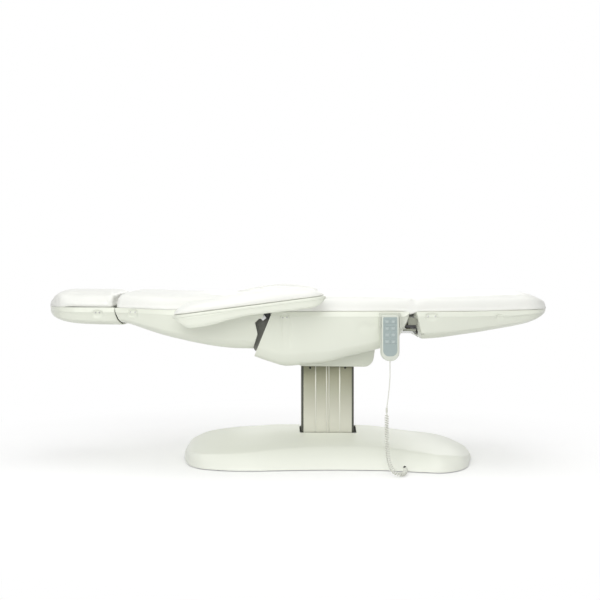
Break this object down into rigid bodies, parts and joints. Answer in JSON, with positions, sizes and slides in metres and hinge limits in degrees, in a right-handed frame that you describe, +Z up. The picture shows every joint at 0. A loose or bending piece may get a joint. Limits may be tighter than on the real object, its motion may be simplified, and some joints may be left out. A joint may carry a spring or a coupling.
{
  "type": "treatment bed",
  "caption": "Electric treatment bed with a lifting column, hinged back, leg rest and headrest, and two level armrests",
  "frame": {"origin": "on the floor, under the middle of the bed's box", "axes": "+X towards the leg end, +Z up, the hand control hangs on the -Y side"},
  "size_m": [1.862, 0.85, 0.6691],
  "materials": {
    "upholstery": "smooth ivory synthetic leather",
    "shell_plastic": "satin ivory moulding",
    "brushed_column": "brushed profile",
    "steel_frame": "grey powder coat",
    "black_paint": "black powder coat",
    "zinc_pin": "zinc plated",
    "drive_plastic": "black moulding",
    "rod_steel": "polished rod",
    "plywood": "raw birch ply",
    "rubber": "black rubber",
    "handset_plastic": "ivory moulding",
    "key_plastic": "off-white keys",
    "cord_sheath": "ivory cord sheath"
  },
  "bodies": {
    "base": {"base_cover": "shell_plastic", "base_frame": "black_paint", "levelling_foot_1": "rubber", "levelling_foot_2": "rubber", "levelling_foot_3": "rubber", "levelling_foot_4": "rubber", "column_outer": "brushed_column", "column_glide": "drive_plastic", "lift_motor": "drive_plastic", "lift_tube": "zinc_pin", "control_box": "drive_plastic", "cord_gland": "rubber", "curly_cord": "cord_sheath"},
    "lift": {"column_inner": "brushed_column", "lift_rod": "rod_steel", "head_frame": "steel_frame", "column_head_cover": "shell_plastic", "tilt_actuator": "drive_plastic"},
    "tilt_rod": {"tilt_rod": "rod_steel"},
    "seat": {"seat_frame": "steel_frame", "seat_board": "plywood", "seat_cushion": "upholstery", "seat_shell": "shell_plastic", "back_actuator": "drive_plastic", "leg_actuator": "drive_plastic", "back_hinge_shaft": "zinc_pin", "leg_hinge_shaft": "zinc_pin", "handset_front": "handset_plastic", "handset_rear": "handset_plastic", "handset_holder": "black_paint", "cord_lead": "cord_sheath"},
    "back": {"back_frame": "steel_frame", "back_board": "plywood", "back_cushion": "upholstery", "back_shell": "shell_plastic"},
    "back_rod": {"back_rod": "rod_steel"},
    "leg_rod": {"leg_rod": "rod_steel"},
    "head": {"headrest_bracket": "steel_frame", "headrest_cushion": "upholstery", "headrest_shell": "shell_plastic"},
    "leg": {"leg_frame": "steel_frame", "leg_board": "plywood", "leg_cushion": "upholstery", "leg_shell": "shell_plastic"},
    "arm_near": {"armrest_shell_near": "shell_plastic", "armrest_pad_near": "upholstery", "armrest_bracket_near": "steel_frame"},
    "arm_far": {"armrest_shell_far": "shell_plastic", "armrest_pad_far": "upholstery", "armrest_bracket_far": "steel_frame"},
    "link_near": {"armrest_link_near": "steel_frame"},
    "link_far": {"armrest_link_far": "steel_frame"},
    "key_height_up": {"key_height_up": "key_plastic"},
    "key_height_down": {"key_height_down": "key_plastic"},
    "key_back_up": {"key_back_up": "key_plastic"},
    "key_back_down": {"key_back_down": "key_plastic"},
    "key_leg_up": {"key_leg_up": "key_plastic"},
    "key_leg_down": {"key_leg_down": "key_plastic"},
    "key_tilt_up": {"key_tilt_up": "key_plastic"},
    "key_tilt_down": {"key_tilt_down": "key_plastic"}
  },
  "joints": [
    {"name": "lift", "type": "slide", "parent": "base", "child": "lift", "axis": [0, 0, 1], "range_m": [0, 0.24]},
    {"name": "tilt", "type": "hinge", "parent": "lift", "child": "seat", "pos_m": [0.137, 0, 0.446], "axis": [0, -1, 0], "range_deg": [0, 15]},
    {"name": "tilt_drive", "type": "slide", "parent": "lift", "child": "tilt_rod", "axis": [-1, 0, 0], "range_m": [0, 0.019]},
    {"name": "back", "type": "hinge", "parent": "seat", "child": "back", "pos_m": [-0.094, 0, 0.579], "axis": [0, 1, 0], "range_deg": [0, 85]},
    {"name": "back_drive", "type": "slide", "parent": "seat", "child": "back_rod", "axis": [-1, 0, 0], "range_m": [0, 0.11]},
    {"name": "leg", "type": "hinge", "parent": "seat", "child": "leg", "pos_m": [0.431, 0, 0.546], "axis": [0, 1, 0], "range_deg": [0, 60]},
    {"name": "leg_drive", "type": "slide", "parent": "seat", "child": "leg_rod", "axis": [-1, 0, 0], "range_m": [0, 0.06]},
    {"name": "headrest", "type": "hinge", "parent": "back", "child": "head", "pos_m": [-0.55, 0, 0.596], "axis": [0, 1, 0], "range_deg": [-15, 25]},
    {"name": "armrest_near", "type": "hinge", "parent": "back", "child": "arm_near", "pos_m": [-0.378, -0.38, 0.559], "axis": [0, -1, 0], "range_deg": [0, 80]},
    {"name": "armrest_link_near", "type": "hinge", "parent": "seat", "child": "link_near", "pos_m": [-0.134, -0.225, 0.524], "axis": [0, 1, 0], "range_deg": [0, 86]},
    {"name": "armrest_far", "type": "hinge", "parent": "back", "child": "arm_far", "pos_m": [-0.378, 0.38, 0.559], "axis": [0, -1, 0], "range_deg": [0, 80]},
    {"name": "armrest_link_far", "type": "hinge", "parent": "seat", "child": "link_far", "pos_m": [-0.134, 0.225, 0.524], "axis": [0, 1, 0], "range_deg": [0, 86]},
    {"name": "key_height_up", "type": "slide", "parent": "seat", "child": "key_height_up", "axis": [0, 1, 0], "range_m": [0, 0.0008], "stiffness_N_per_m": 600, "springref_m": -0.0008},
    {"name": "key_height_down", "type": "slide", "parent": "seat", "child": "key_height_down", "axis": [0, 1, 0], "range_m": [0, 0.0008], "stiffness_N_per_m": 600, "springref_m": -0.0008},
    {"name": "key_back_up", "type": "slide", "parent": "seat", "child": "key_back_up", "axis": [0, 1, 0], "range_m": [0, 0.0008], "stiffness_N_per_m": 600, "springref_m": -0.0008},
    {"name": "key_back_down", "type": "slide", "parent": "seat", "child": "key_back_down", "axis": [0, 1, 0], "range_m": [0, 0.0008], "stiffness_N_per_m": 600, "springref_m": -0.0008},
    {"name": "key_leg_up", "type": "slide", "parent": "seat", "child": "key_leg_up", "axis": [0, 1, 0], "range_m": [0, 0.0008], "stiffness_N_per_m": 600, "springref_m": -0.0008},
    {"name": "key_leg_down", "type": "slide", "parent": "seat", "child": "key_leg_down", "axis": [0, 1, 0], "range_m": [0, 0.0008], "stiffness_N_per_m": 600, "springref_m": -0.0008},
    {"name": "key_tilt_up", "type": "slide", "parent": "seat", "child": "key_tilt_up", "axis": [0, 1, 0], "range_m": [0, 0.0008], "stiffness_N_per_m": 600, "springref_m": -0.0008},
    {"name": "key_tilt_down", "type": "slide", "parent": "seat", "child": "key_tilt_down", "axis": [0, 1, 0], "range_m": [0, 0.0008], "stiffness_N_per_m": 600, "springref_m": -0.0008}
  ],
  "couplings": [
    {"joint": "tilt_drive", "follows": "tilt", "m_per_rad": 0.0704},
    {"joint": "back_drive", "follows": "back", "m_per_rad": 0.0728},
    {"joint": "leg_drive", "follows": "leg", "m_per_rad": 0.0552},
    {"joint": "armrest_near", "follows": "back", "ratio": 0.933},
    {"joint": "armrest_link_near", "follows": "back", "ratio": 1},
    {"joint": "armrest_far", "follows": "back", "ratio": 0.933},
    {"joint": "armrest_link_far", "follows": "back", "ratio": 1}
  ]
}
